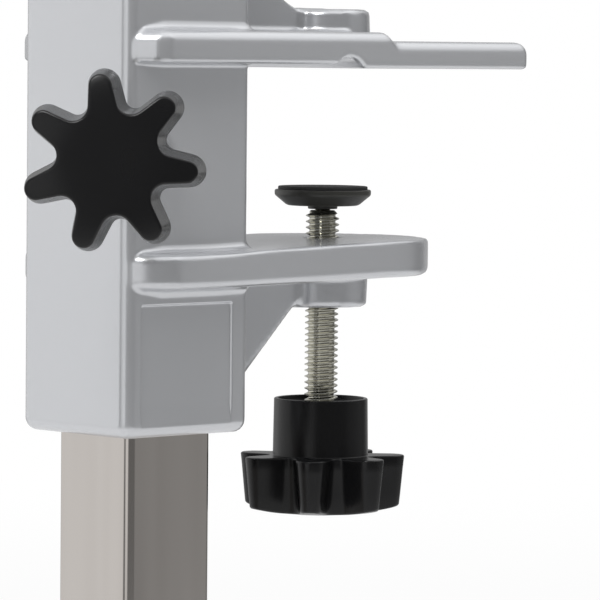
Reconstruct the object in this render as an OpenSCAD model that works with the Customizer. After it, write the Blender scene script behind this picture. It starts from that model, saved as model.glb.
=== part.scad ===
// Edge clamp bracket with a square post that slides in its sleeve.
// Millimetres. The origin is on the upper jaw's gripping face, on the clamp screw's axis.
// Z is up, and X runs along the jaws, away from the sleeve.

/* [Post] */
// Outside width of the square post
post_w = 25; // [20:0.5:30]
// Radius of the post's corners
post_corner = 2; // [1:0.25:3]
// Wall of the post's tube
post_wall = 1.5; // [1:0.1:2.5]
// Length of the post's tube
post_length = 300; // [250:5:600]
// How far the tube reaches below the sleeve at rest
post_below = 62; // [62:1:100]
// Gap on each side between the post and the sleeve
post_gap = 0.3; // [0.2:0.05:0.6]

/* [Post plugs] */
// Thickness of a plug's lip
plug_lip = 2.5; // [1.5:0.1:4]
// How far a plug reaches into the tube
plug_depth = 16; // [10:1:25]
// Wall of a plug's skirt
plug_wall = 2; // [1.5:0.1:3]
// Gap between a plug and the tube's inside
plug_gap = 0.1; // [0.05:0.05:0.3]
// Bevel of a plug's face
plug_bevel = 1; // [0.4:0.1:1.4]

/* [Sleeve] */
// Outside width of the square sleeve
sleeve_w = 37.2; // [36:0.1:44]
// Radius of the sleeve's upright corners
sleeve_corner = 3; // [1.5:0.25:4]
// Radius of the sleeve's end edges
sleeve_edge = 3; // [1:0.25:4]
// Sleeve's height above the gripping face
sleeve_above = 44; // [40:1:60]
// Sleeve's depth below the lower jaw's top
sleeve_below = 43; // [40:1:60]
// Depth of the side panels
panel_depth = 0.7; // [0.4:0.1:1.5]
// Border of a side panel, front and bottom
panel_border = 4; // [3.5:0.25:6]
// Border of a side panel on the jaws' side
panel_back = 5.7; // [4:0.1:8]
// Border between a side panel and the lower jaw
panel_drop = 4.4; // [3:0.1:8]

/* [Jaws] */
// Distance from the post's axis to the clamp screw's axis
reach = 58; // [54:0.5:75]
// Width of both jaws
jaw_w = 50; // [46:0.5:60]
// Rounding of the jaws' edges
jaw_edge = 1.5; // [1:0.1:2.4]
// How far the jaws start behind the sleeve's front face
jaw_setback = 0.6; // [0.5:0.1:4]
// Radius of the jaws' shoulders beside the sleeve
shoulder_r = 10; // [8:0.5:12]
// Distance from the gripping face to the lower jaw's top
jaw_gap = 40; // [38:0.5:70]
// Thickness of the lower jaw
lower_t = 8.6; // [7:0.1:12]
// Height of the upper jaw's thick part above the gripping face
upper_t = 8.4; // [7.5:0.1:12]
// Thickness of the upper jaw's tongue
tongue_t = 6.4; // [5:0.1:7]
// How far the tongue reaches past the clamp screw's axis
tongue_reach = 44.2; // [30:0.1:60]
// Where the upper jaw steps down to its tongue, before the clamp screw's axis
step_back = 0.8; // [0:0.1:5]
// Radius of the tongue's corners
tongue_corner = 2.5; // [1:0.25:6]
// Relief of the upper jaw's underside beside the sleeve
relief = 1.4; // [0.8:0.1:2]
// Where the gripping land ends, before the clamp screw's axis
land_back = 10.2; // [8:0.1:14]
// Radius of the scoop that ends the land
scoop_r = 5.5; // [4:0.25:8]
// Height of the scoop above the gripping face
scoop_h = 2.5; // [1.5:0.1:3]
// Radius of the fillets between the jaws and the sleeve
jaw_fillet = 2.5; // [1:0.25:3]

/* [Bosses and ribs] */
// Diameter of the boss on each jaw
boss_d = 21.6; // [18:0.2:26]
// Taper of a boss on its radius
boss_draft = 0.4; // [0:0.1:1]
// Height of the lower boss below its jaw
lower_boss_h = 7.7; // [6:0.1:12]
// Height of the upper boss above its jaw
upper_boss_h = 5.4; // [3:0.1:8]
// Thickness of the ribs
rib_t = 6; // [4:0.5:10]
// How far the lower rib stops above the sleeve's end
rib_stop = 1; // [0.5:0.25:6]
// Radius of the upper rib's hollow foot
rib_sweep = 16; // [12:0.5:24]
// How far the hollow foot starts before the clamp screw's axis
rib_start = 6.8; // [5:0.1:9]
// Diameter of the boss on the sleeve's corner
corner_boss_d = 18; // [16:0.5:22]
// Distance from the post's axis to the corner boss's face
corner_boss_reach = 28.5; // [27:0.5:36]

/* [Screws] */
// Outside diameter of both screws
screw_d = 7.9; // [6:0.1:8]
// Pitch of both threads
thread_pitch = 1.411; // [1:0.001:1.75]
// Running gap between a screw and its bush, on the radius
screw_gap = 0.06; // [0.02:0.01:0.1]
// Wall of the threaded bushes
bush_wall = 2; // [1.5:0.1:3]
// Length of the bush in the lower boss
clamp_bush_l = 12; // [8:0.5:15]
// Length of the bush in the sleeve's corner
lock_bush_l = 8; // [5:0.5:9]
// Gap around a screw where it passes through the casting, on the radius
hole_gap = 0.35; // [0.2:0.05:0.8]

/* [Pad] */
// Diameter of the pressure pad
pad_d = 22.8; // [18:0.2:30]
// Thickness of the pad under its facing
pad_t = 3.8; // [3.6:0.1:6]
// Rounding of the pad's lower edge
pad_round = 2.2; // [1:0.1:3]
// Thickness of the pad's facing
facing_t = 0.8; // [0.5:0.1:2]
// Distance from the gripping face to the facing at rest
grip = 27.9; // [10:0.1:28.8]
// Diameter of the ball on the clamp screw
ball_d = 4.6; // [4:0.1:5]
// Diameter of the neck below the ball
neck_d = 3.2; // [2.5:0.1:3.5]
// Depth of the collar that holds the ball, below the pad
collar_h = 0.8; // [0.5:0.1:1.2]
// Diameter of that collar
collar_d = 7; // [6.6:0.2:12]
// Gap around the ball
ball_gap = 0.05; // [0.02:0.01:0.1]

/* [Knobs] */
// Diameter of both star knobs
knob_d = 40; // [34:0.5:50]
// Number of lobes
knob_lobes = 7; // [6:1:7]
// Width of a lobe at its tip
lobe_w = 6.2; // [5:0.1:6.4]
// Angle between a lobe's side and its middle line
lobe_taper = 8; // [4:0.5:9]
// Distance from the axis to the valleys between the lobes
valley_r = 11.7; // [11.4:0.1:13]
// Thickness of the star at its middle
star_t = 14.5; // [10:0.1:18]
// Fall of the star's crowned face at the lobes' tips
star_crown = 2.8; // [1:0.1:3.2]
// Diameter of the hub
hub_d = 22.4; // [19:0.2:26]
// Length of the hub
hub_l = 13.5; // [10:0.5:20]
// Depth of the recess in the hub's end
hub_recess = 1.2; // [0.5:0.1:2]
// Wall around that recess
hub_rim = 1.2; // [1:0.1:2]
// Width of the hexagonal insert across its flats
insert_w = 13; // [11:0.25:15]
// Length of the insert
insert_l = 12; // [8:0.5:14]
// Length of screw between the lower boss and the clamp knob at rest
clamp_screw_out = 21.8; // [21.5:0.1:40]
// Length of screw between the corner boss and the lock knob at rest
lock_screw_out = 23.3; // [8:0.1:30]
// Turn of the clamp knob's first lobe
clamp_knob_turn = 37.7; // [0:0.1:52]
// Turn of the lock knob's first lobe
lock_knob_turn = 32.6; // [0:0.1:52]

/* [Lock] */
// Diameter of the V-faced shoe
shoe_d = 7.6; // [5.5:0.1:7.6]
// Gap between the shoe's V and the post
shoe_gap = 0.15; // [0.1:0.05:0.3]
// Thickness of the shoe behind the bottom of its V
shoe_back = 3.2; // [3:0.1:4]
// Depth of the shoe's sides in front of the bottom of its V
shoe_nose = 3; // [2:0.1:3.5]
// Diameter of the spigot that the shoe turns on
spigot_d = 4; // [3:0.1:4.5]
// Length of that spigot
spigot_l = 2; // [1:0.1:2.2]
// Gap around the spigot
spigot_gap = 0.06; // [0.02:0.01:0.1]

/* [Hidden] */
$fn = 96;
// Overlap that lets cuts run clear of a face
over = 1;
// Thickness of material that joins one cast form to the next
root = 4;
// How far an arc of the star runs into the line beside it
arc_cross = 0.1;
// Smallest corner radius inside the tube
least_corner = 0.3;
// Thread depth as a share of the pitch
depth_share = 0.61;
// Thickness of the pad above the ball
ball_web = 1;
// Gap between the pad's collar and the screw's thread
collar_gap = 0.3;
// Gap around the neck below the ball
neck_gap = 0.1;

// Heights
lower_top = -jaw_gap;
lower_bottom = lower_top - lower_t;
lower_boss_end = lower_bottom - lower_boss_h;
upper_boss_end = upper_t + upper_boss_h;
sleeve_top = sleeve_above;
sleeve_bottom = lower_top - sleeve_below;
gap_middle = lower_top / 2;
post_bottom = sleeve_bottom - post_below;
post_top = post_bottom + post_length;

// Places along X
sleeve_front = -reach - sleeve_w / 2;
sleeve_back = -reach + sleeve_w / 2;
jaw_start = sleeve_front + jaw_setback;
jaw_proud = (jaw_w - sleeve_w) / 2;

// Post and sleeve
hole_w = post_w + 2 * post_gap;
hole_corner = post_corner + post_gap;
bore_w = post_w - 2 * post_wall;
bore_corner = max(post_corner - post_wall, least_corner);

// Screws and bushes
bush_d = screw_d + 2 * bush_wall;
bush_bore_d = screw_d + 2 * screw_gap;
thread_depth = depth_share * thread_pitch;
crest = thread_pitch / 8;
root_flat = thread_pitch / 4;
hole_d = screw_d + 2 * hole_gap;

// Clamp screw's heights
pad_top = -grip - facing_t;
pad_bottom = pad_top - pad_t;
collar_end = pad_bottom - collar_h;
ball_z = pad_top - ball_web - ball_d / 2 - ball_gap;
clamp_thread_top = collar_end - collar_gap;
clamp_knob_z = lower_boss_end - clamp_screw_out;
clamp_thread_end = clamp_knob_z - hub_recess - insert_l;

// Lock screw's distances from the post's axis, along the sleeve's diagonal
post_edge = post_w / sqrt(2);
shoe_v = post_edge + shoe_gap * sqrt(2);
shoe_end = shoe_v + shoe_back;
lock_thread_start = shoe_end + spigot_gap;
lock_knob_start = corner_boss_reach + lock_screw_out;
lock_thread_end = lock_knob_start + hub_recess + insert_l;

// A square of width w with round corners, about the origin
module round_square(w, r) {
  square([w - 2 * r, w], center = true);
  square([w, w - 2 * r], center = true);
  for (x = [-1, 1], y = [-1, 1])
    translate([x * (w / 2 - r), y * (w / 2 - r)]) circle(r);
}

// A rectangle from y0 to y1 with round ends of radius r, w to each side of the origin
module round_slab(w, y0, y1, r) {
  translate([-w, y0 + r]) square([2 * w, y1 - y0 - 2 * r]);
  translate([-w + r, y0]) square([2 * w - 2 * r, y1 - y0]);
  for (x = [-1, 1], y = [y0 + r, y1 - r])
    translate([x * (w - r), y]) circle(r);
}

// The half of round_slab that a turned end needs
module half_slab(w, y0, y1, r) {
  intersection() {
    round_slab(w, y0, y1, r);
    translate([0, y0 - over]) square([w + over, y1 - y0 + 2 * over]);
  }
}

// A bar along X from x0 to x1 with the section of round_slab
module bar(x0, x1, w, z0, z1, r) {
  translate([x0, 0, 0]) rotate([90, 0, 90])
    linear_extrude(x1 - x0) round_slab(w, z0, z1, r);
}

// The rounded shoulders where a jaw starts beside the sleeve, and its straight run to x1
module jaw_run(x1, z0, z1) {
  x0 = jaw_start + shoulder_r;
  bar(x0, x1, jaw_w / 2, z0, z1, jaw_edge);
  for (side = [-1, 1])
    translate([x0, side * (jaw_w / 2 - shoulder_r), 0])
      rotate_extrude() half_slab(shoulder_r, z0, z1, jaw_edge);
}

// A fillet along X beside the sleeve, on the side of a jaw that faces up or down
module side_fillet(z, up) {
  length = sleeve_back - sleeve_corner - jaw_start - jaw_proud;
  for (side = [-1, 1])
    translate([jaw_start + jaw_proud, side * sleeve_w / 2, z])
      mirror([0, side < 0 ? 1 : 0, 0]) mirror([0, 0, up ? 0 : 1])
        rotate([90, 0, 90]) linear_extrude(length) difference() {
          translate([-over, -over]) square(jaw_fillet + over);
          translate([jaw_fillet, jaw_fillet]) circle(jaw_fillet);
        }
}

// The sleeve, solid, with round corners and end edges
module sleeve_block() {
  height = sleeve_top - sleeve_bottom;
  middle = (sleeve_top + sleeve_bottom) / 2;
  translate([-reach, 0, middle]) intersection() {
    linear_extrude(height, center = true) round_square(sleeve_w, sleeve_corner);
    for (turn = [0, 90])
      rotate([90, 0, turn]) linear_extrude(sleeve_w + 2 * over, center = true)
        round_slab(sleeve_w / 2, -height / 2, height / 2, sleeve_edge);
  }
}

// The lower jaw with its round end, boss and rib
module lower_jaw() {
  jaw_run(0, lower_bottom, lower_top);
  rotate_extrude() half_slab(jaw_w / 2, lower_bottom, lower_top, jaw_edge);
  translate([0, 0, lower_boss_end])
    cylinder(h = lower_boss_h + root, r1 = boss_d / 2 - boss_draft, r2 = boss_d / 2);
  toe = -boss_d / 2 - boss_draft;
  foot = sleeve_bottom + rib_stop;
  run = lower_boss_end - foot;
  rotate([90, 0, 0]) linear_extrude(rib_t, center = true)
    polygon([
      [toe + root, lower_bottom + over], [toe + root, lower_boss_end], [toe, lower_boss_end],
      [toe - run, foot], [sleeve_back - root, foot], [sleeve_back - root, lower_bottom + over]
    ]);
  side_fillet(lower_top, true);
  side_fillet(lower_bottom, false);
}

// The upper jaw: a thick part with a relieved underside, a boss, a rib and a thinner tongue
module upper_jaw() {
  step_r = upper_t - tongue_t;
  intersection() {
    jaw_run(-step_back, relief, upper_t);
    union() {
      translate([jaw_start - over, -jaw_w, 0])
        cube([-step_back - step_r - jaw_start + over, 2 * jaw_w, upper_t + over]);
      translate([jaw_start, -jaw_w, 0]) cube([-step_back - jaw_start, 2 * jaw_w, tongue_t]);
      translate([-step_back - step_r, jaw_w, tongue_t]) rotate([90, 0, 0])
        cylinder(h = 2 * jaw_w, r = step_r);
    }
  }
  difference() {
    intersection() {
      bar(-land_back - scoop_r, tongue_reach, jaw_w / 2, 0, tongue_t, jaw_edge / 2);
      linear_extrude(upper_t) translate([tongue_reach - reach, 0])
        round_slab(reach, -jaw_w / 2, jaw_w / 2, tongue_corner);
    }
    scoop_z = scoop_h - scoop_r;
    scoop_x = -land_back - sqrt(scoop_r * scoop_r - scoop_z * scoop_z);
    translate([scoop_x, jaw_w, scoop_z]) rotate([90, 0, 0]) cylinder(h = 2 * jaw_w, r = scoop_r);
    translate([scoop_x - 2 * scoop_r, -jaw_w, -over]) cube([2 * scoop_r, 2 * jaw_w, relief + over]);
  }
  translate([0, 0, upper_t - root])
    cylinder(h = upper_boss_h + root, r1 = boss_d / 2, r2 = boss_d / 2 - boss_draft);
  // The rib falls from the sleeve at 45 degrees, and its foot is hollow
  slope_x = -rib_start - rib_sweep * sin(45);
  slope_z = upper_boss_end + rib_sweep * (1 - cos(45));
  rib_top = slope_z + slope_x - sleeve_back;
  rotate([90, 0, 0]) linear_extrude(rib_t, center = true) difference() {
    polygon([
      [sleeve_back - root, upper_t - root], [sleeve_back - root, rib_top], [sleeve_back, rib_top],
      [slope_x, slope_z], [-rib_start, upper_boss_end], [-rib_start, upper_t - root]
    ]);
    translate([-rib_start, upper_boss_end + rib_sweep]) circle(rib_sweep + arc_cross);
  }
  side_fillet(upper_t, true);
  side_fillet(relief, false);
}

// Turns what lies along +Z into the lock's direction, out through the sleeve's corner
module along_lock(distance) {
  translate([-reach, 0, gap_middle]) rotate([0, 90, 225]) translate([0, 0, distance]) children();
}

// A shallow panel in each side of the sleeve, below the lower jaw
module side_panels() {
  panel_top = lower_bottom - panel_drop;
  panel_bottom = sleeve_bottom + panel_border;
  for (side = [-1, 1])
    translate([sleeve_front + panel_border, side * (sleeve_w / 2 - panel_depth / 2 + over / 2), panel_bottom])
      translate([0, -(panel_depth + over) / 2, 0])
        cube([sleeve_w - panel_border - panel_back, panel_depth + over, panel_top - panel_bottom]);
}

module clamp_bracket() {
  color("silver") difference() {
    union() {
      sleeve_block();
      lower_jaw();
      upper_jaw();
      along_lock(post_edge) cylinder(h = corner_boss_reach - post_edge, d = corner_boss_d);
    }
    translate([-reach, 0, sleeve_bottom - over])
      linear_extrude(sleeve_top - sleeve_bottom + 2 * over) round_square(hole_w, hole_corner);
    translate([0, 0, lower_boss_end - over])
      cylinder(h = lower_top - lower_boss_end + 2 * over, d = hole_d);
    translate([0, 0, lower_boss_end - over]) cylinder(h = clamp_bush_l + over, d = bush_d);
    along_lock(post_edge - shoe_nose - root) cylinder(h = corner_boss_reach, d = hole_d);
    along_lock(corner_boss_reach - lock_bush_l) cylinder(h = lock_bush_l + over, d = bush_d);
    side_panels();
  }
}

// A bush with a running bore for a screw
module thread_insert(length) {
  color("dimgray") difference() {
    cylinder(h = length, d = bush_d);
    translate([0, 0, -over]) cylinder(h = length + 2 * over, d = bush_bore_d);
  }
}

module clamp_thread_insert() {
  translate([0, 0, lower_boss_end]) thread_insert(clamp_bush_l);
}

module lock_thread_insert() {
  along_lock(corner_boss_reach - lock_bush_l) thread_insert(lock_bush_l);
}

module post_tube() {
  color("lightgray") translate([-reach, 0, post_bottom]) linear_extrude(post_length) difference() {
    round_square(post_w, post_corner);
    round_square(bore_w, bore_corner);
  }
}

// A plug with its bevelled lip above the origin and its skirt below
module plug() {
  skirt_w = bore_w - 2 * plug_gap;
  skirt_corner = max(bore_corner - plug_gap, least_corner);
  side = post_w / 2;
  color("black") {
    intersection() {
      linear_extrude(plug_lip) round_square(post_w, post_corner);
      for (turn = [0, 90])
        rotate([90, 0, turn]) linear_extrude(post_w + 2 * over, center = true)
          polygon([
            [-side, 0], [side, 0], [side, plug_lip - plug_bevel], [side - plug_bevel, plug_lip],
            [plug_bevel - side, plug_lip], [-side, plug_lip - plug_bevel]
          ]);
    }
    translate([0, 0, -plug_depth]) difference() {
      linear_extrude(plug_depth) round_square(skirt_w, skirt_corner);
      translate([0, 0, -over]) linear_extrude(plug_depth - plug_wall + over)
        round_square(skirt_w - 2 * plug_wall, skirt_corner);
    }
  }
}

module post_top_plug() {
  translate([-reach, 0, post_top]) plug();
}

module post_bottom_plug() {
  translate([-reach, 0, post_bottom]) mirror([0, 0, 1]) plug();
}

// Outline of a screw from z = 0 up to length, grooved at the thread's pitch
function thread_outline(length) =
  let (
    r = screw_d / 2,
    flank = (thread_pitch - crest - root_flat) / 2,
    grooves = floor((length - 2 * thread_depth) / thread_pitch),
    start = (length - grooves * thread_pitch) / 2
  )
  concat(
    [[0, 0], [r - thread_depth, 0], [r, min(thread_depth, start)]],
    [for (i = [0 : grooves - 1])
      let (z = start + i * thread_pitch + crest / 2)
      each [
        [r, z], [r - thread_depth, z + flank],
        [r - thread_depth, z + flank + root_flat], [r, z + 2 * flank + root_flat]
      ]
    ],
    [[r, length - min(thread_depth, start)], [r - thread_depth, length], [0, length]]
  );

module threaded_rod(length) {
  rotate_extrude() polygon(thread_outline(length));
}

module clamp_screw() {
  color("lightsteelblue") {
    translate([0, 0, clamp_thread_end]) threaded_rod(clamp_thread_top - clamp_thread_end);
    translate([0, 0, clamp_thread_top - over]) cylinder(h = ball_z - clamp_thread_top + over, d = neck_d);
    translate([0, 0, ball_z]) sphere(d = ball_d);
  }
}

// The pad: a dished disc with a collar under it that closes round the screw's ball
module pressure_pad() {
  color("darkslategray") difference() {
    rotate_extrude() {
      translate([0, pad_bottom]) square([pad_d / 2 - pad_round, pad_t]);
      translate([0, pad_bottom + pad_round]) square([pad_d / 2, pad_t - pad_round]);
      intersection() {
        translate([pad_d / 2 - pad_round, pad_bottom + pad_round]) circle(pad_round);
        translate([0, pad_bottom]) square([pad_d, pad_round]);
      }
      translate([0, collar_end]) square([collar_d / 2, collar_h + over]);
    }
    translate([0, 0, ball_z]) sphere(d = ball_d + 2 * ball_gap);
    translate([0, 0, collar_end - over]) cylinder(h = ball_z - collar_end + over, d = neck_d + 2 * neck_gap);
  }
}

module pad_facing() {
  color("black") translate([0, 0, pad_top]) cylinder(h = facing_t, d = pad_d - 2 * facing_t);
}

// Outline of the star: tapered lobes with round tips, joined by hollow valleys
module star() {
  half_step = 180 / knob_lobes;
  tip_r = lobe_w / 2;
  tip_at = knob_d / 2 - tip_r;
  // Distance from the axis to the line of a lobe's side, and the valley's hollow that touches it
  side_off = tip_at * sin(lobe_taper) + tip_r;
  slant = sin(half_step + lobe_taper);
  hollow_r = (valley_r * slant - side_off) / (1 - slant);
  hollow_at = valley_r + hollow_r;
  touch = [hollow_at * cos(half_step), hollow_at * sin(half_step)]
    - hollow_r * [sin(lobe_taper), cos(lobe_taper)];
  inner_w = side_off / cos(lobe_taper);
  outer_w = tip_r * cos(lobe_taper) - arc_cross / 2;
  outer_at = tip_at + tip_r * sin(lobe_taper);
  difference() {
    circle(norm(touch));
    for (i = [0 : knob_lobes - 1])
      rotate((i + 0.5) * 2 * half_step) translate([hollow_at, 0]) circle(hollow_r + arc_cross);
  }
  for (i = [0 : knob_lobes - 1]) rotate(i * 2 * half_step) {
    polygon([[0, -inner_w], [outer_at, -outer_w], [outer_at, outer_w], [0, inner_w]]);
    translate([tip_at, 0]) circle(tip_r);
  }
}

// A star knob: its hub's end lies at z = 0 and its crowned face points up
module knob(turn) {
  rim_r = knob_d / 2 + over;
  crown_bands = 6;
  color("black") difference() {
    union() {
      cylinder(h = hub_l + over, d = hub_d);
      translate([0, 0, hub_l]) intersection() {
        linear_extrude(star_t) rotate(turn) star();
        rotate_extrude() polygon(concat(
          [[0, -over], [rim_r, -over]],
          [for (i = [crown_bands : -1 : 0])
            let (part = i / crown_bands)
            [part * rim_r, star_t - star_crown * part * part]
          ]
        ));
      }
    }
    translate([0, 0, -over]) cylinder(h = hub_recess + over, d = hub_d - 2 * hub_rim);
    translate([0, 0, hub_recess - over]) linear_extrude(insert_l + over) insert_outline();
  }
}

module insert_outline() {
  circle(d = insert_w / cos(30), $fn = 6);
}

module knob_insert() {
  color("dimgray") translate([0, 0, hub_recess]) difference() {
    linear_extrude(insert_l) insert_outline();
    translate([0, 0, -over]) cylinder(h = insert_l + 2 * over, d = bush_bore_d);
  }
}

// Turns what lies along +Z down from the clamp knob's hub
module below_clamp() {
  translate([0, 0, clamp_knob_z]) rotate([180, 0, 0]) children();
}

module clamp_knob() {
  below_clamp() knob(clamp_knob_turn);
}

module clamp_knob_insert() {
  below_clamp() knob_insert();
}

// The shoe: a short plug with a right-angled V that faces the post's corner
module lock_shoe() {
  color("goldenrod") difference() {
    along_lock(shoe_v - shoe_nose) cylinder(h = shoe_back + shoe_nose, d = shoe_d);
    translate([-reach, 0, gap_middle])
      cube([post_w + 2 * shoe_gap, post_w + 2 * shoe_gap, 2 * shoe_d], center = true);
    along_lock(shoe_end - spigot_l - spigot_gap)
      cylinder(h = spigot_l + spigot_gap + over, d = spigot_d + 2 * spigot_gap);
  }
}

module lock_screw() {
  color("lightsteelblue") {
    along_lock(lock_thread_start) threaded_rod(lock_thread_end - lock_thread_start);
    along_lock(shoe_end - spigot_l) cylinder(h = spigot_l + over, d = spigot_d);
  }
}

module lock_knob() {
  along_lock(lock_knob_start) knob(lock_knob_turn);
}

module lock_knob_insert() {
  along_lock(lock_knob_start) knob_insert();
}

clamp_bracket();
clamp_thread_insert();
lock_thread_insert();
post_tube();
post_top_plug();
post_bottom_plug();
pressure_pad();
pad_facing();
clamp_screw();
clamp_knob();
clamp_knob_insert();
lock_shoe();
lock_screw();
lock_knob();
lock_knob_insert();
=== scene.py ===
from math import cos, pi, radians, sin, tan

import bmesh
import bpy
import numpy as np
from mathutils import Matrix, Vector


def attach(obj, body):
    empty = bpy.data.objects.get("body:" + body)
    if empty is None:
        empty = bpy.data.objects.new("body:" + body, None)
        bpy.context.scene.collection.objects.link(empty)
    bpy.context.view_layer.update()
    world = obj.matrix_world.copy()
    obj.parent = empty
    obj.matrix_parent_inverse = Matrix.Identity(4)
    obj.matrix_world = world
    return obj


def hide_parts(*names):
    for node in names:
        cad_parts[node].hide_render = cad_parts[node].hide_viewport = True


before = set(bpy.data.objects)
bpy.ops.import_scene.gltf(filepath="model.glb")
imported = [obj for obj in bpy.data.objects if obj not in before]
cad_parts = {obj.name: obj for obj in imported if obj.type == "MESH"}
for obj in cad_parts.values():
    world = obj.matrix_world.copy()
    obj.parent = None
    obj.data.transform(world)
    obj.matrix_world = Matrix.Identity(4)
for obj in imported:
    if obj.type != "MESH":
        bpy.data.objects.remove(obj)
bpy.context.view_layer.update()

# Sizes are in millimetres, in the frame of the solids. Meshes are scaled to metres when they are made.
MM = 0.001
ROOT_2 = 2 ** 0.5

# Post and plugs
REACH = 58.0
POST_W = 25.0
POST_CORNER = 2.0
POST_WALL = 1.5
POST_BEVEL = 0.25
POST_INNER_CORNER = 0.5
POST_BOTTOM = -145.0
POST_TOP = 155.0
PLUG_LIP = 2.5
PLUG_LIP_EDGE = 1.0
PLUG_SKIRT = 15.0
PLUG_ROOM = 0.2

# Sleeve
HOLE_HALF = 12.8
HOLE_CORNER = 2.3
HOLE_EDGE = 0.9
SLEEVE_HALF = 18.6
SLEEVE_TOP = 44.0
SLEEVE_BOTTOM = -83.0
SLEEVE_CORNER = 3.0
SLEEVE_EDGE = 3.0

# Fillets between the sleeve and the jaws: at the front corners, what they gain, and where they are full
FILLET_LEAST = 0.6
FILLET_LOWER = 1.8
FILLET_UPPER_TOP = 2.0
FILLET_UPPER_UNDER = 0.7
FILLET_UPPER_MIDDLE = 4.0
FILLET_START = 2.0
FILLET_RUN = 8.0

# Shallow panel in each side of the sleeve
PANEL_X = -58.65
PANEL_Z = -67.6
PANEL_HALF_X = 13.35
PANEL_HALF_Z = 14.3
PANEL_CORNER = 0.3
PANEL_DEPTH = 0.55
PANEL_EDGE = 0.1
PANEL_WALL_SLANT = 0.6
PANEL_WALL_MOST = 2.0
PANEL_FOOT = -80.5
PANEL_RUN_OUT = 4.0

# Both jaws
JAW_HALF = 25.0
BOSS_R = 10.8
BOSS_DRAFT = 0.04
BOSS_FILLET = 1.3
RIB_HALF = 3.0
RIB_EDGE = 1.2

# Lower jaw, which sinks a little towards the sleeve
LOWER_START = -76.0
LOWER_SHOULDER = 11.3
LOWER_TOP = -40.0
LOWER_BOTTOM = -48.6
LOWER_EDGE = 1.0
LOWER_EDGE_GAIN = 1.2
LOWER_EDGE_START = -40.0
LOWER_EDGE_RUN = 20.0
LOWER_UNDER_EDGE = 2.0
SINK_TOP = 1.5
SINK_BOTTOM = 1.0
SINK_RUN = 52.0
LOWER_BOSS_END = -56.3
LOWER_BOSS_SUNK = 2.0
LOWER_BOSS_EDGE = 1.1
LOWER_RIB_LINE = 44.7
LOWER_RIB_FRONT = -6.0
LOWER_RIB_BACK = -50.0
LOWER_RIB_SUNK = 3.0
LOWER_RIB_FOOT = 1.0
LOWER_RIB_FILLET = 2.0

# Upper jaw and its tongue
UPPER_START = -74.9
UPPER_SHOULDER = 2.5
UPPER_TOP = 8.4
UPPER_EDGE = 3.0
UPPER_UNDER_EDGE = 1.1
SHOULDER_SLANT = (cos(pi / 6), 0.5)
TONGUE_TOP = 6.4
TONGUE_END = 44.2
TONGUE_CORNER = 2.5
TONGUE_STEP = -2.8
TONGUE_STEP_RUN = 3.7
SCOOP_X = -14.8
SCOOP_Z = -3.0
SCOOP_R = 5.5
RELIEF = 1.0
RELIEF_EDGE = 0.5
UPPER_BOSS_END = 13.8
UPPER_BOSS_START = 4.0
UPPER_BOSS_EDGE = 1.4
UPPER_RIB_LINE = 0.4
UPPER_RIB_FRONT = -3.0
UPPER_RIB_BACK = -45.0
UPPER_RIB_START = 4.0
UPPER_RIB_LOW = 0.9
UPPER_RIB_BEND = 4.4
UPPER_RIB_FILLET = 1.8

# Boss and holes for the screws
LOCK_Z = -20.0
LOCK_BOSS_R = 9.0
LOCK_BOSS_START = 14.0
LOCK_BOSS_END = 28.5
LOCK_BOSS_EDGE = 0.9
LOCK_BOSS_FILLET = 2.0
LOCK_HOLE_START = 8.0
LOCK_BUSH_START = 20.5
BUSH_R = 5.95
BUSH_TOP = -44.3
HOLE_R = 4.3
HOLE_TOP = -20.0
SCREW_HOLE_EDGE = 0.3

# Screws
SCREW_R = 3.95
PITCH = 1.411
THREAD_DEPTH = 0.86
CREST_EDGE = 0.06
ROOT_EDGE = 0.1
SCREW_END_BEVEL = 0.3
THREAD_AROUND = 64
BALL_R = 2.3
BALL_BELOW_PAD_TOP = 3.35
NECK_R = 1.6
SHOE_END = 17.68 + 0.21 + 3.2
SPIGOT_R = 2.0
SPIGOT_BEVEL = 0.3

# Pad
PAD_TOP = -28.7
PAD_BOTTOM = -32.5
PAD_R = 11.4
PAD_FACING_R = 10.6
PAD_FACING_T = 0.8

# Knobs
LOCK_KNOB_START = 51.8
LOCK_KNOB_TURN = radians(32.6)
CLAMP_KNOB_Z = -78.1
CLAMP_KNOB_TURN = radians(37.7)
HUB_R = 11.2
HUB_L = 13.5
HUB_RECESS = 1.2
HUB_FLARE = 0.5
STAR_T = 14.8
STAR_R = 20.0
STAR_LOBES = 7
STAR_TIP_R = 3.55
STAR_TAPER = radians(8)
STAR_VALLEY = 12.2
STAR_CROWN = 3.0
CROWN_FLAT = 13.0
STAR_DRAFT = 1.1
STAR_BACK_EDGE = 0.4
STAR_FRONT_EDGE = 0.55
STAR_MIDDLE = 9.0
INSERT_HALF = 6.5
INSERT_L = 12.0


# Meshes

def add_piece(name, skin, material, body, nodes, sharp=None):
    """A smooth mesh from points in millimetres and faces, riding on a body in place of some solids."""
    points, faces = skin
    mesh = bpy.data.meshes.new(name)
    mesh.from_pydata((np.asarray(points) * MM).tolist(), [], faces)
    work = bmesh.new()
    work.from_mesh(mesh)
    bmesh.ops.remove_doubles(work, verts=work.verts, dist=1e-7)
    bmesh.ops.recalc_face_normals(work, faces=work.faces)
    work.to_mesh(mesh)
    work.free()
    mesh.polygons.foreach_set("use_smooth", [True] * len(mesh.polygons))
    if sharp is not None:
        mesh.set_sharp_from_angle(angle=radians(sharp))
    mesh.materials.append(material)
    piece = bpy.data.objects.new(name, mesh)
    bpy.context.scene.collection.objects.link(piece)
    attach(piece, body)
    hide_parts(*nodes)


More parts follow.
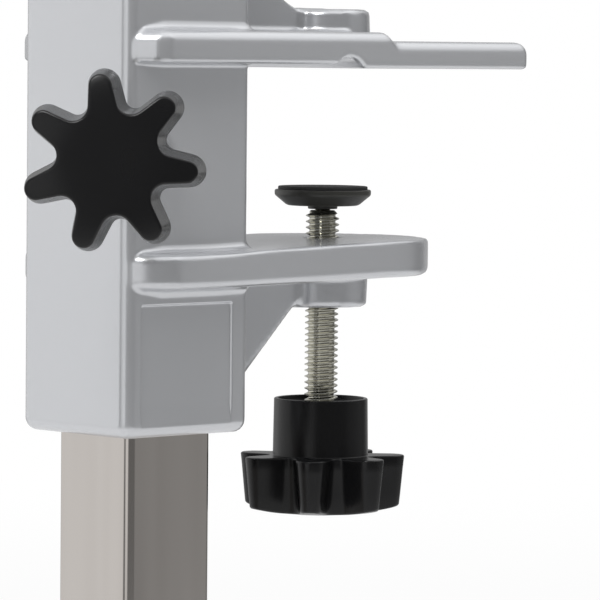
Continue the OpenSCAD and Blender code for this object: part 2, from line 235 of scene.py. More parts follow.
def loft(rings, capped=True):
    """Points and faces of a skin over closed rings, with a fan at each end or joined end to end."""
    rings = np.asarray(rings, float)
    count, around = rings.shape[:2]
    points = rings.reshape(-1, 3).tolist()
    last = count - 1 if capped else count
    faces = []
    for i in range(last):
        here = i * around
        there = (i + 1) % count * around
        for j in range(around):
            k = (j + 1) % around
            faces.append((here + j, here + k, there + k, there + j))
    if capped:
        for start in (0, (count - 1) * around):
            centre = len(points)
            points.append(np.mean(points[start:start + around], axis=0).tolist())
            faces += [(start + j, start + (j + 1) % around, centre) for j in range(around)]
    return points, faces


def together(first, second):
    """Two skins as one."""
    start = len(first[0])
    moved = [tuple(index + start for index in face) for face in second[1]]
    return first[0] + second[0], first[1] + moved


def raised(rings, z):
    return np.asarray(rings) + np.array([0, 0, z])


def turned(profile, around=96):
    """Rings of a turned shape from its outline as (radius, height) pairs."""
    angles = np.arange(around) * 2 * pi / around
    rings = []
    for r, z in profile:
        rings.append(np.stack([r * np.cos(angles), r * np.sin(angles), np.full(around, z)], axis=1))
    return rings


def rounded(points, radii, steps=6):
    """An open outline of (r, z) corners with each inner corner rounded to its radius."""
    out = [points[0]]
    for i in range(1, len(points) - 1):
        corner = np.array(points[i], float)
        to_last = np.array(points[i - 1], float) - corner
        to_next = np.array(points[i + 1], float) - corner
        a = to_last / np.hypot(*to_last)
        b = to_next / np.hypot(*to_next)
        half = np.arccos(np.clip(a @ b, -1, 1)) / 2
        radius = radii[i - 1]
        if radius == 0:
            out.append(tuple(corner))
            continue
        middle = (a + b) / np.hypot(*(a + b))
        centre = corner + middle * radius / sin(half)
        start = corner + a * radius / tan(half) - centre
        end = corner + b * radius / tan(half) - centre
        for step in range(steps + 1):
            mix = start * (1 - step / steps) + end * (step / steps)
            out.append(tuple(centre + mix / np.hypot(*mix) * radius))
    out.append(points[-1])
    return out


def square_ring(width, corner, z):
    """A closed ring round the post's axis: a square with round corners."""
    steps = 8
    at = (width / 2 - corner) * ROOT_2
    ring = []
    for quarter in range(4):
        middle = (quarter + 0.5) * pi / 2
        for step in range(steps + 1):
            angle = (quarter + step / steps) * pi / 2
            x = at * cos(middle) + corner * cos(angle) - REACH
            y = at * sin(middle) + corner * sin(angle)
            ring.append((x, y, z))
    return ring


# Cast forms, as distance fields

def rounded_box(u, v, half_u, half_v, r):
    du = np.abs(u) - half_u + r
    dv = np.abs(v) - half_v + r
    return np.hypot(np.maximum(du, 0), np.maximum(dv, 0)) + np.minimum(np.maximum(du, dv), 0) - r


def join(a, b, r):
    """Both forms, with a fillet of radius r between them."""
    return np.maximum(r, np.minimum(a, b)) - np.hypot(np.maximum(r - a, 0), np.maximum(r - b, 0))


def meet(a, b, r):
    """What both forms share, with its edge rounded to r."""
    return np.minimum(-r, np.maximum(a, b)) + np.hypot(np.maximum(r + a, 0), np.maximum(r + b, 0))


def cut(a, b, r):
    """The first form without the second, with the edge rounded to r."""
    return meet(a, -b, r)


def between(z, low, high):
    return np.abs(z - (low + high) / 2) - (high - low) / 2


def ramp(value, start, run):
    """From 0 at the start to 1 after the run."""
    return np.clip((value - start) / run, 0, 1)


def lower_jaw_field(x, y, z):
    radius = np.hypot(x, y)
    straight = rounded_box(x, y, -LOWER_START, JAW_HALF, LOWER_SHOULDER)
    plan = np.where(x > 0, radius - JAW_HALF, straight)
    # The jaw sinks towards the sleeve, and its top edge is rounder beside it
    sink = ramp(-x, 0, SINK_RUN)
    top_edge = LOWER_EDGE + LOWER_EDGE_GAIN * ramp(-x, -LOWER_EDGE_START, LOWER_EDGE_RUN)
    top = z - LOWER_TOP + SINK_TOP * sink
    under = LOWER_BOTTOM - SINK_BOTTOM * sink - z
    jaw = meet(meet(plan, top, top_edge), under, LOWER_UNDER_EDGE)
    boss_side = radius - BOSS_R - BOSS_DRAFT * (z - LOWER_BOTTOM)
    boss = meet(boss_side, between(z, LOWER_BOSS_END, LOWER_TOP - LOWER_BOSS_SUNK), LOWER_BOSS_EDGE)
    rib_edge = (x - LOWER_RIB_LINE - z) / ROOT_2
    rib_top = np.maximum(x - LOWER_RIB_FRONT, z - LOWER_BOTTOM - LOWER_RIB_SUNK)
    rib_foot = np.maximum(LOWER_RIB_BACK - x, SLEEVE_BOTTOM + LOWER_RIB_FOOT - z)
    rib = meet(np.abs(y) - RIB_HALF, np.maximum(rib_edge, np.maximum(rib_top, rib_foot)), RIB_EDGE)
    return join(join(jaw, boss, BOSS_FILLET), rib, LOWER_RIB_FILLET)


def upper_jaw_field(x, y, z):
    radius = np.hypot(x, y)
    step = ramp(x, TONGUE_STEP, TONGUE_STEP_RUN)
    top = UPPER_TOP + (TONGUE_TOP - UPPER_TOP) * step * step * (3 - 2 * step)
    scoop = np.hypot(x - SCOOP_X, z - SCOOP_Z) - SCOOP_R
    relief = np.maximum(x - SCOOP_X, z - RELIEF)
    under = cut(-z, np.minimum(scoop, relief), RELIEF_EDGE)
    # Each shoulder slants back from the sleeve's front corner
    slant = (UPPER_START - x) * SHOULDER_SLANT[0] + (np.abs(y) - SLEEVE_HALF) * SHOULDER_SLANT[1]
    shoulders = np.maximum(meet(np.abs(y) - JAW_HALF, slant, UPPER_SHOULDER), UPPER_START - x)
    tongue = rounded_box(x, y, TONGUE_END, JAW_HALF, TONGUE_CORNER)
    plan = np.where(x > 0, tongue, shoulders)
    jaw = meet(meet(plan, z - top, UPPER_EDGE), under, UPPER_UNDER_EDGE)
    boss_side = radius - BOSS_R + BOSS_DRAFT * (z - UPPER_TOP)
    boss = meet(boss_side, between(z, UPPER_BOSS_START, UPPER_BOSS_END), UPPER_BOSS_EDGE)
    rib_edge = join((x + z - UPPER_RIB_LINE) / ROOT_2, z - UPPER_BOSS_END + UPPER_RIB_LOW, UPPER_RIB_BEND)
    rib_side = np.maximum(np.maximum(x - UPPER_RIB_FRONT, UPPER_RIB_START - z), UPPER_RIB_BACK - x)
    rib = meet(np.abs(y) - RIB_HALF, np.maximum(rib_edge, rib_side), RIB_EDGE)
    return join(join(jaw, boss, BOSS_FILLET), rib, UPPER_RIB_FILLET)


def casting_field(x, y, z):
    px = x + REACH
    height = between(z, SLEEVE_BOTTOM, SLEEVE_TOP)
    sleeve = meet(rounded_box(px, y, SLEEVE_HALF, SLEEVE_HALF, SLEEVE_CORNER), height, SLEEVE_EDGE)
    # The fillets beside the sleeve run out towards its front corners
    run = np.clip((px + SLEEVE_HALF - FILLET_START) / FILLET_RUN, 0, 1)
    body = join(sleeve, lower_jaw_field(x, y, z), FILLET_LEAST + FILLET_LOWER * run)
    over = FILLET_LEAST + FILLET_UPPER_TOP * run
    below = FILLET_LEAST + FILLET_UPPER_UNDER * run
    body = join(body, upper_jaw_field(x, y, z), np.where(z > FILLET_UPPER_MIDDLE, over, below))

    # The lock's boss on the front corner
    out = -(px + y) / ROOT_2
    off_axis = np.hypot((px - y) / ROOT_2, z - LOCK_Z)
    lock_boss = meet(off_axis - LOCK_BOSS_R, between(out, LOCK_BOSS_START, LOCK_BOSS_END), LOCK_BOSS_EDGE)
    body = join(body, lock_boss, LOCK_BOSS_FILLET)

    # A shallow panel in each side, with slanting walls and a floor that runs out towards the bottom
    depth = np.abs(y) - SLEEVE_HALF + PANEL_DEPTH * ramp(z, PANEL_FOOT, PANEL_RUN_OUT)
    panel = rounded_box(x - PANEL_X, z - PANEL_Z, PANEL_HALF_X, PANEL_HALF_Z, PANEL_CORNER)
    panel = panel - PANEL_WALL_SLANT * np.clip(depth, 0, PANEL_WALL_MOST)
    body = cut(body, np.maximum(panel, -depth), PANEL_EDGE)

    # The holes for the post and the screws, wider where the screws have their bushes
    body = cut(body, rounded_box(px, y, HOLE_HALF, HOLE_HALF, HOLE_CORNER), HOLE_EDGE)
    radius = np.hypot(x, y)
    screw_hole = np.minimum(radius - HOLE_R, np.maximum(radius - BUSH_R, z - BUSH_TOP))
    body = cut(body, np.maximum(screw_hole, z - HOLE_TOP), SCREW_HOLE_EDGE)
    lock_hole = np.minimum(off_axis - HOLE_R, np.maximum(off_axis - BUSH_R, LOCK_BUSH_START - out))
    return cut(body, np.maximum(lock_hole, LOCK_HOLE_START - out), SCREW_HOLE_EDGE)


def grid_lines(low, high, spots, walls):
    """Places from low to high, close together within the spots and closest at some walls."""
    wide_step, close_step, wall_step = 1.5, 0.55, 0.13
    wall_room, wall_start = 0.65, 0.6
    lines = [low]
    while lines[-1] < high:
        here = lines[-1]
        if any(abs(here - wall) < wall_room for wall in walls):
            step = wall_step
        elif any(a <= here <= b for a, b in spots):
            step = close_step
        else:
            ahead = [wall - wall_start - here for wall in walls if here < wall - wall_start]
            step = min([wide_step] + ahead)
        lines.append(here + step)
    return np.array(lines)


def surface(field, lines):
    """Points and four-sided faces of the skin where a sampled field passes through zero."""
    shape = [len(line) - 1 for line in lines]
    cells = shape[0] * shape[1] * shape[2]
    sums = np.zeros((3, cells))
    count = np.zeros(cells)
    inside = field < 0
    quads = []
    for axis in range(3):
        low = [slice(None)] * 3
        high = [slice(None)] * 3
        low[axis] = slice(None, -1)
        high[axis] = slice(1, None)
        low, high = tuple(low), tuple(high)
        crossing = inside[low] != inside[high]
        place = np.argwhere(crossing)
        before = field[low][crossing]
        after = field[high][crossing]
        point = [lines[a][place[:, a]] for a in range(3)]
        step = lines[axis][place[:, axis] + 1] - point[axis]
        point[axis] = point[axis] + before / (before - after) * step
        b, c = (axis + 1) % 3, (axis + 2) % 3
        corners = []
        for db, dc in ((-1, -1), (0, -1), (0, 0), (-1, 0)):
            cell = place.copy()
            cell[:, b] += db
            cell[:, c] += dc
            index = np.ravel_multi_index(cell.T, shape)
            corners.append(index)
            count += np.bincount(index, minlength=cells)
            for a in range(3):
                sums[a] += np.bincount(index, weights=point[a], minlength=cells)
        quad = np.stack(corners, axis=1)
        outward = before < 0
        quads.append(np.where(outward[:, None], quad, quad[:, ::-1]))
    used = count > 0
    number = np.cumsum(used) - 1
    points = (sums[:, used] / count[used]).T
    return points, number[np.concatenate(quads)].tolist()


def casting_mesh():
    # The spots hold the rounded edges, fillets and holes; the walls are the panel's
    x_spots = [(-87, -64), (-48, -36), (-22, -9), (-5, 1), (22, 26.5), (40, 45)]
    y_spots = [(-28, -11.5), (-5.5, -1.5), (1.5, 5.5), (11.5, 27)]
    z_spots = [(-85, -76.5), (-58, -36), (-31.5, -8.5), (-3, 17), (39, 46)]
    xs = grid_lines(-87.0, 45.0, x_spots, (-72.2, -45.1))
    ys = grid_lines(-28.0, 27.0, y_spots, (-18.2, 18.2))
    zs = grid_lines(-85.0, 46.0, z_spots, (-53.1,))
    field = casting_field(xs[:, None, None], ys[None, :, None], zs[None, None, :])
    return surface(field, (xs, ys, zs))


# Knobs

def towards(angle):
    return np.array([cos(angle), sin(angle)])


def star_outline():
    """Points and outward normals round the star's back edge: round tips, slanting sides, hollow valleys."""
    half = pi / STAR_LOBES
    square = pi / 2 - STAR_TAPER
    tip_at = STAR_R - STAR_TIP_R
    slant = sin(half + STAR_TAPER)
    hollow = (STAR_VALLEY * slant - tip_at * sin(STAR_TAPER) - STAR_TIP_R) / (1 - slant)
    side_parts = (0.33, 0.67)
    points = []
    normals = []
    for lobe in range(STAR_LOBES):
        axis = 2 * half * lobe
        centre = towards(axis) * tip_at
        for angle in np.linspace(-square, square, 17) + axis:
            points.append(centre + STAR_TIP_R * towards(angle))
            normals.append(towards(angle))
        centre = towards(axis + half) * (STAR_VALLEY + hollow)
        sweep = np.linspace(axis + square, axis + 2 * half - square, 11)
        first = towards(sweep[0])
        last = towards(sweep[-1])
        side_end = points[-1]
        side_start = centre - hollow * first
        for part in side_parts:
            points.append(side_end * (1 - part) + side_start * part)
            normals.append(first)
        for angle in sweep:
            points.append(centre - hollow * towards(angle))
            normals.append(towards(angle))
        valley_end = points[-1]
        next_tip = towards(axis + 2 * half) * tip_at + STAR_TIP_R * last
        for part in side_parts:
            points.append(valley_end * (1 - part) + next_tip * part)
            normals.append(last)
    return np.array(points), np.array(normals)


def knob_rings(turn):
    """Rings of a star knob along +Z, from the pocket of its insert to its crowned face."""
    outline, normals = star_outline()
    swing = np.array([[cos(turn), sin(turn)], [-sin(turn), cos(turn)]])
    outline, normals = outline @ swing, normals @ swing
    angles = np.arctan2(outline[:, 1], outline[:, 0])

    def ring(flat, z):
        return np.column_stack([flat, np.broadcast_to(z, len(flat))])

    def circle(r):
        return np.column_stack([r * np.cos(angles), r * np.sin(angles)])

    def crown(flat):
        # Nearly flat in the middle and falling away along the lobes
        out = np.hypot(np.hypot(flat[:, 0], flat[:, 1]) ** 3, CROWN_FLAT ** 3) ** (1 / 3)
        return HUB_L + STAR_T - STAR_CROWN * (out / STAR_R) ** 2

    # The pocket, the hub's hollow end and the hub
    sector = pi / 3
    hexagon = circle(INSERT_HALF / np.cos((angles - sector / 2) % sector - sector / 2))
    rings = [ring(hexagon, HUB_RECESS + INSERT_L), ring(hexagon, HUB_RECESS)]
    hub = rounded(
        [(8.6, HUB_RECESS), (HUB_R - 1.1, HUB_RECESS), (HUB_R - 1.0, 0), (HUB_R - 0.1, 0),
         (HUB_R + 0.1, HUB_L), (HUB_R + HUB_FLARE, HUB_L)],
        [0.3, 0.25, 0.3, 0.25], 4)
    rings += [ring(circle(r), z) for r, z in hub]

    # The star's back, its rounded back edge and its drafted side
    start = circle(HUB_R + HUB_FLARE)
    back = outline - STAR_BACK_EDGE * normals
    for part in (0.25, 0.5, 0.75):
        rings.append(ring(start * (1 - part) + back * part, HUB_L))
    for step in range(4):
        angle = step / 3 * pi / 2
        flat = outline - STAR_BACK_EDGE * (1 - sin(angle)) * normals
        rings.append(ring(flat, HUB_L + STAR_BACK_EDGE * (1 - cos(angle))))
    for part in (0.25, 0.5, 0.75):
        rise = part * (STAR_T - STAR_CROWN)
        rings.append(ring(outline - STAR_DRAFT * part * normals, HUB_L + rise))

    # The rounded front edge and the crowned face
    for step in range(6):
        angle = step / 5 * pi / 2
        flat = outline - (STAR_DRAFT + STAR_FRONT_EDGE * (1 - cos(angle))) * normals
        rings.append(ring(flat, crown(flat) - STAR_FRONT_EDGE * (1 - sin(angle))))
    face = outline - (STAR_DRAFT + STAR_FRONT_EDGE) * normals
    middle = circle(STAR_MIDDLE)
    for part in (0.15, 0.35, 0.6, 0.8, 1.0):
        flat = face * (1 - part) + middle * part
        rings.append(ring(flat, crown(flat)))
    for part in (0.75, 0.5, 0.25, 0.08):
        rings.append(ring(middle * part, crown(middle * part)))
    return np.array(rings)


def along_lock(rings):
    """Turns what lies along +Z into the lock's direction, out through the sleeve's front corner."""
    s = 0.5 ** 0.5
    down = np.array([0, 0, -1.0])
    side = np.array([s, -s, 0])
    out = np.array([-s, -s, 0])
    rings = np.asarray(rings)
    turned_round = rings[..., :1] * down + rings[..., 1:2] * side + rings[..., 2:] * out
    return turned_round + np.array([-REACH, 0, LOCK_Z])


def below_clamp(rings):
    """Turns what lies along +Z down from the clamp knob's hub."""
    return np.asarray(rings) * np.array([1, -1, -1]) + np.array([0, 0, CLAMP_KNOB_Z])


# Screws

def thread_rings(length):
    """Rings of a right-hand thread along +Z from 0 to length, with bevelled ends."""
    root = SCREW_R - THREAD_DEPTH
    # Share of the pitch and radius: root, flank, crest, flank
    profile = (
        (0.0, root), (0.2, root), (0.29, root + ROOT_EDGE), (0.5, SCREW_R - CREST_EDGE),
        (0.55, SCREW_R), (0.65, SCREW_R), (0.7, SCREW_R - CREST_EDGE), (0.91, root + ROOT_EDGE),
    )
    turns = int(length / PITCH) + 2
    angles = np.arange(THREAD_AROUND) * 2 * pi / THREAD_AROUND
    rings = []
    for turn in range(-1, turns):
        for share, r in profile:
            z = np.clip((turn + share + angles / (2 * pi)) * PITCH, 0, length)
            end_room = np.minimum(z, length - z)
            radius = np.minimum(r, root - SCREW_END_BEVEL + end_room)
            rings.append(np.stack([radius * np.cos(angles), radius * np.sin(angles), z], axis=1))
    return rings


# Materials

def new_material(name):
    material = bpy.data.materials.new(name)
    material.use_nodes = True
    tree = material.node_tree
    return material, tree, tree.nodes["Principled BSDF"]


def noise(tree, scale, detail, stretch):
    """A noise over the object's own coordinates, in metres."""
    place = tree.nodes.new("ShaderNodeTexCoord")
    mapping = tree.nodes.new("ShaderNodeMapping")
    mapping.inputs["Scale"].default_value = stretch
    texture = tree.nodes.new("ShaderNodeTexNoise")
    texture.inputs["Scale"].default_value = scale
    texture.inputs["Detail"].default_value = detail
    tree.links.new(place.outputs["Object"], mapping.inputs["Vector"])
    tree.links.new(mapping.outputs["Vector"], texture.inputs["Vector"])
    return texture.outputs["Fac"]


def map_range(tree, value, start, end, low, high, kind="LINEAR"):
    """From low to high while the value goes from start to end."""
    node = tree.nodes.new("ShaderNodeMapRange")
    node.interpolation_type = kind
    for name, number in (("From Min", start), ("From Max", end), ("To Min", low), ("To Max", high)):
        node.inputs[name].default_value = number
    tree.links.new(value, node.inputs["Value"])
    return node.outputs["Result"]


def spread(tree, value, low, high):
    """The noise's middle half stretched to a range."""
    return map_range(tree, value, 0.25, 0.75, low, high)


def surface_material(
    name, dark, light, rough, metallic, grain=None, tone_scale=60, stretch=(1, 1, 1), detail=3
):
    """A finish with two close tones, a varying roughness and, where it has one, a grain (scale, depth)."""
    material, tree, shader = new_material(name)
    shader.inputs["Metallic"].default_value = metallic
    tones = tree.nodes.new("ShaderNodeMix")
    tones.data_type = "RGBA"
    tones.inputs["A"].default_value = (*dark, 1)
    tones.inputs["B"].default_value = (*light, 1)
    share = spread(tree, noise(tree, tone_scale, detail, stretch), 0, 1)
    tree.links.new(share, tones.inputs["Factor"])
    tree.links.new(tones.outputs["Result"], shader.inputs["Base Color"])
    roughness = spread(tree, noise(tree, tone_scale * 1.7, detail, stretch), *rough)
    tree.links.new(roughness, shader.inputs["Roughness"])
    if grain is not None:
        bump = tree.nodes.new("ShaderNodeBump")
        bump.inputs["Strength"].default_value = 1.0
        bump.inputs["Distance"].default_value = grain[1]
        tree.links.new(noise(tree, grain[0], 2, stretch), bump.inputs["Height"])
        tree.links.new(bump.outputs["Normal"], shader.inputs["Normal"])
    return material


CASTING = surface_material(
    "silver_casting", (0.58, 0.59, 0.61), (0.60, 0.61, 0.63), (0.24, 0.27), 0.62,
    tone_scale=16, detail=0)
POST_STEEL = surface_material(
    "satin_post", (0.56, 0.525, 0.495), (0.59, 0.555, 0.525), (0.11, 0.15), 1.0,
    tone_scale=250, stretch=(1, 1, 0.02), detail=0)
SCREW_STEEL = surface_material(
    "plated_screw", (0.50, 0.49, 0.43), (0.64, 0.63, 0.56), (0.08, 0.15), 1.0,
    grain=(1500, 0.000005), tone_scale=300)
BUSH_STEEL = surface_material(
    "turned_steel", (0.38, 0.38, 0.38), (0.50, 0.50, 0.49), (0.28, 0.42), 1.0,
    grain=(2500, 0.000005), tone_scale=300)
KNOB_PLASTIC = surface_material(
    "gloss_knob", (0.0052, 0.0052, 0.0057), (0.0062, 0.0062, 0.0067), (0.25, 0.29), 0.0,
    tone_scale=30, detail=0)
KNOB_PLASTIC.node_tree.nodes["Principled BSDF"].inputs["Specular IOR Level"].default_value = 0.30
PLUG_PLASTIC = surface_material(
    "moulded_plug", (0.014, 0.014, 0.014), (0.022, 0.022, 0.022), (0.42, 0.55), 0.0,
    grain=(2500, 0.00003))
PAD_PLASTIC = surface_material(
    "moulded_pad", (0.030, 0.030, 0.026), (0.045, 0.044, 0.038), (0.30, 0.42), 0.0,
    grain=(1800, 0.00002))
PAD_RUBBER = surface_material(
    "pad_rubber", (0.020, 0.020, 0.020), (0.030, 0.030, 0.030), (0.62, 0.78), 0.0,
    grain=(2500, 0.00005))
SHOE_BRASS = surface_material(
    "turned_brass", (0.52, 0.37, 0.15), (0.62, 0.46, 0.21), (0.22, 0.34), 1.0,
    grain=(2500, 0.000005), tone_scale=250)


# Casting, post and plugs

add_piece("casting", casting_mesh(), CASTING, "bracket", ["clamp_bracket"])

inner_w = POST_W - 2 * POST_WALL
end_w = POST_W - 2 * POST_BEVEL
end_corner = POST_CORNER - POST_BEVEL
tube = loft([
    square_ring(end_w, end_corner, POST_BOTTOM),
    square_ring(POST_W, POST_CORNER, POST_BOTTOM + POST_BEVEL),
    square_ring(POST_W, POST_CORNER, POST_TOP - POST_BEVEL),
    square_ring(end_w, end_corner, POST_TOP),
    square_ring(inner_w, POST_INNER_CORNER, POST_TOP),
    square_ring(inner_w, POST_INNER_CORNER, POST_BOTTOM),
], capped=False)
add_piece("post", tube, POST_STEEL, "post", ["post_tube"], sharp=35)

# Width, corner and height of each ring of a plug, from its skirt in the tube to its rounded lip
skirt_w = inner_w - PLUG_ROOM
plug_steps = [
    (skirt_w - 1.0, 0.3, -PLUG_SKIRT - 1),
    (skirt_w, 0.4, -PLUG_SKIRT),
    (skirt_w, 0.4, 0),
    (POST_W - 0.5, 1.8, 0),
    (POST_W, 2.0, 0.25),
]
for step in range(5):
    angle = step / 4 * pi / 2
    width = POST_W - 2 * PLUG_LIP_EDGE * (1 - cos(angle))
    plug_steps.append((width, 2.0, PLUG_LIP - PLUG_LIP_EDGE + PLUG_LIP_EDGE * sin(angle)))
plug_steps.append((POST_W - 8, 1.5, PLUG_LIP))
for name, node, end, way in (
    ("top_plug", "post_top_plug", POST_TOP, 1),
    ("bottom_plug", "post_bottom_plug", POST_BOTTOM, -1),
):
    plug = loft([square_ring(width, corner, end + way * z) for width, corner, z in plug_steps])
    add_piece(name, plug, PLUG_PLASTIC, "post", [node], sharp=40)


# Screws, knobs and pad

clamp_thread_top = PAD_BOTTOM - 1.1
clamp_thread_end = CLAMP_KNOB_Z - HUB_RECESS - INSERT_L
clamp_thread = loft(raised(thread_rings(clamp_thread_top - clamp_thread_end), clamp_thread_end))
ball_z = PAD_TOP - BALL_BELOW_PAD_TOP
ball = [(NECK_R, clamp_thread_top - 0.6), (NECK_R, ball_z - 1.65)]
for angle in np.linspace(-0.75, pi / 2 - 0.05, 12):
    ball.append((BALL_R * cos(angle), ball_z + BALL_R * sin(angle)))
clamp_screw = together(clamp_thread, loft(turned(ball, 48)))
add_piece("clamp_screw_thread", clamp_screw, SCREW_STEEL, "clamp", ["clamp_screw"], sharp=50)

lock_thread_start = SHOE_END + 0.06
lock_thread_end = LOCK_KNOB_START + HUB_RECESS + INSERT_L
lock_thread = raised(thread_rings(lock_thread_end - lock_thread_start), lock_thread_start)
spigot = turned([
    (SPIGOT_R - SPIGOT_BEVEL, SHOE_END - 2.0),
    (SPIGOT_R, SHOE_END - 2.0 + SPIGOT_BEVEL),
    (SPIGOT_R, lock_thread_start + 1),
], 48)
lock_screw = together(loft(along_lock(lock_thread)), loft(along_lock(spigot)))
add_piece("lock_screw_thread", lock_screw, SCREW_STEEL, "lock", ["lock_screw"], sharp=50)

clamp_star = loft(below_clamp(knob_rings(CLAMP_KNOB_TURN)))
add_piece("clamp_star", clamp_star, KNOB_PLASTIC, "clamp", ["clamp_knob"], sharp=60)
lock_star = loft(along_lock(raised(knob_rings(LOCK_KNOB_TURN), LOCK_KNOB_START)))
add_piece("lock_star", lock_star, KNOB_PLASTIC, "lock", ["lock_knob"], sharp=60)

pad = rounded(
    [(2.0, ball_z), (2.0, PAD_BOTTOM - 0.8), (3.5, PAD_BOTTOM - 0.8), (3.5, PAD_BOTTOM), (8.4, PAD_BOTTOM),
     (PAD_R, PAD_BOTTOM + 2.5), (PAD_R, PAD_TOP), (0.5, PAD_TOP)],
    [0.1, 0.25, 0.3, 2.0, 0.9, 0.4])
add_piece("swivel_pad", loft(turned(pad)), PAD_PLASTIC, "pad", ["pressure_pad"], sharp=50)
facing_top = PAD_TOP + PAD_FACING_T
facing = rounded(
    [(0.5, PAD_TOP), (PAD_FACING_R, PAD_TOP), (PAD_FACING_R, facing_top), (0.5, facing_top)], [0, 0.3])
add_piece("pad_face", loft(turned(facing)), PAD_RUBBER, "pad", ["pad_facing"], sharp=50)

# These solids show as they are
for node, material in (
    ("clamp_thread_insert", BUSH_STEEL),
    ("lock_thread_insert", BUSH_STEEL),
    ("clamp_knob_insert", BUSH_STEEL),
    ("lock_knob_insert", BUSH_STEEL),
    ("lock_shoe", SHOE_BRASS),
):
    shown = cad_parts[node]
    shown.data.materials.clear()
    shown.data.materials.append(material)


# Camera at the photograph's angle

PHOTO_PX = 600
FOCUS_PX = 4500.0
AZIMUTH = radians(-42.742)
PITCH_DOWN = radians(3.186)
ROLL = radians(0.527)
AIM_X, AIM_Z, DISTANCE = -5.155, -54.953, 1065.44

back = Vector((sin(AZIMUTH) * cos(PITCH_DOWN), -cos(AZIMUTH) * cos(PITCH_DOWN), sin(PITCH_DOWN)))
right = Vector((cos(AZIMUTH), sin(AZIMUTH), 0))
up = back.cross(right)
place = (right * AIM_X + Vector((0, 0, AIM_Z)) + back * DISTANCE) * MM
turn_right = right * cos(ROLL) + up * sin(ROLL)
turn_up = up * cos(ROLL) - right * sin(ROLL)
lens = bpy.data.cameras.new("camera")
lens.sensor_width = 36.0
lens.lens = FOCUS_PX / PHOTO_PX * lens.sensor_width
camera = bpy.data.objects.new("camera", lens)
camera.matrix_world = Matrix((
    (turn_right.x, turn_up.x, back.x, place.x),
    (turn_right.y, turn_up.y, back.y, place.y),
    (turn_right.z, turn_up.z, back.z, place.z),
    (0, 0, 0, 1),
))
bpy.context.scene.collection.objects.link(camera)
bpy.context.scene.camera = camera


# Floor, backdrop and light, in metres

FLOOR_Z = -0.222
FLOOR_SPAN = 30.0
SHADOW_NEAR = 0.3
SHADOW_FAR = 1.3
SHADOW_WHITE = 0.8

# Soft bright fields round the object: direction, cosines where each starts and is full, brightness
STUDIO = (
    ((-0.50, 0.87, 0.0), 0.68, 0.90, 0.89),
    ((0.35, 0.94, 0.0), 0.20, 0.75, 0.50),
    ((-0.97, -0.22, 0.0), 0.89, 0.985, 0.90),
    ((0.77, -0.64, 0.0), 0.75, 0.96, 0.34),
    ((0.0, 0.0, 1.0), 0.45, 0.80, 0.80),
    ((0.0, 0.0, -1.0), 0.20, 0.55, 1.00),
)
STUDIO_LEAST = 0.18


def area_light(name, place, aim, size, power):
    lamp = bpy.data.lights.new(name, "AREA")
    lamp.shape = "RECTANGLE"
    lamp.size, lamp.size_y = size
    lamp.energy = power
    holder = bpy.data.objects.new(name, lamp)
    holder.location = place
    holder.rotation_euler = (Vector(aim) - Vector(place)).to_track_quat("-Z", "Y").to_euler()
    bpy.context.scene.collection.objects.link(holder)


def combine(tree, way, first, second):
    """One number from two, each an output of a node or a plain value."""
    node = tree.nodes.new("ShaderNodeMath")
    node.operation = way
    for socket, value in zip(node.inputs, (first, second)):
        if isinstance(value, float):
            socket.default_value = value
        else:
            tree.links.new(value, socket)
    return node.outputs[0]


def vector_math(tree, way, vector):
    node = tree.nodes.new("ShaderNodeVectorMath")
    node.operation = way
    tree.links.new(vector, node.inputs[0])
    return node


def studio_level(tree, direction):
    """How bright the studio is in a direction."""
    level = STUDIO_LEAST
    for middle, start, end, strength in STUDIO:
        dot = vector_math(tree, "DOT_PRODUCT", direction)
        dot.inputs[1].default_value = Vector(middle).normalized()
        field = map_range(tree, dot.outputs["Value"], start, end, 0.0, strength, "SMOOTHSTEP")
        level = combine(tree, "MAXIMUM", level, field)
    return level


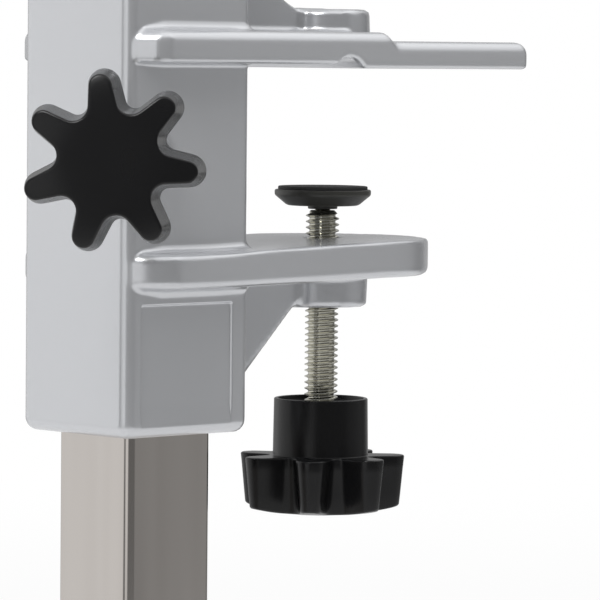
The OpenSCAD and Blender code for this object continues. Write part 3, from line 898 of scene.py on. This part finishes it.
floor_mesh = bpy.data.meshes.new("floor")
corners = [(x * FLOOR_SPAN, y * FLOOR_SPAN, FLOOR_Z) for x, y in ((-1, -1), (1, -1), (1, 1), (-1, 1))]
floor_mesh.from_pydata(corners, [], [(0, 1, 2, 3)])
floor = bpy.data.objects.new("floor", floor_mesh)
bpy.context.scene.collection.objects.link(floor)
paint, tree, shader = new_material("pale_floor")
shader.inputs["Base Color"].default_value = (0.86, 0.86, 0.86, 1)
shader.inputs["Roughness"].default_value = 0.9
glow = tree.nodes.new("ShaderNodeEmission")
glow.inputs["Color"].default_value = (1, 1, 1, 1)
rays = tree.nodes.new("ShaderNodeLightPath").outputs
spot = tree.nodes.new("ShaderNodeNewGeometry").outputs["Position"]

# White to the camera, less so where the shadow falls; mirrors see the studio's levels in it
away = vector_math(tree, "LENGTH", spot).outputs["Value"]
white = map_range(tree, away, SHADOW_NEAR, SHADOW_FAR, SHADOW_WHITE, 1.0, "SMOOTHSTEP")
to_camera = combine(tree, "MULTIPLY", rays["Is Camera Ray"], white)
outward = vector_math(tree, "NORMALIZE", spot).outputs["Vector"]
brightness = combine(tree, "MAXIMUM", rays["Is Camera Ray"], studio_level(tree, outward))
tree.links.new(brightness, glow.inputs["Strength"])
mixed = tree.nodes.new("ShaderNodeMixShader")
tree.links.new(combine(tree, "MAXIMUM", to_camera, rays["Is Glossy Ray"]), mixed.inputs[0])
tree.links.new(shader.outputs[0], mixed.inputs[1])
tree.links.new(glow.outputs[0], mixed.inputs[2])
tree.links.new(mixed.outputs[0], tree.nodes["Material Output"].inputs["Surface"])
floor_mesh.materials.append(paint)

world = bpy.data.worlds.new("studio")
bpy.context.scene.world = world
world.use_nodes = True
tree = world.node_tree
background = tree.nodes["Background"]
direction = tree.nodes.new("ShaderNodeTexCoord").outputs["Generated"]
rays = tree.nodes.new("ShaderNodeLightPath").outputs
level = combine(tree, "MAXIMUM", studio_level(tree, direction), rays["Is Camera Ray"])
background.inputs["Color"].default_value = (1, 1, 1, 1)
tree.links.new(level, background.inputs["Strength"])

area_light("key", (-0.85, -0.25, 0.85), (-0.04, 0, -0.02), (0.6, 0.6), 10.0)
area_light("top", (0.0, -0.45, 1.0), (-0.03, 0, -0.02), (0.8, 0.8), 1.0)
area_light("side", (0.75, -0.25, 0.8), (-0.03, 0, -0.02), (1.4, 0.8), 2.4)

bpy.context.scene.view_settings.view_transform = "Standard"
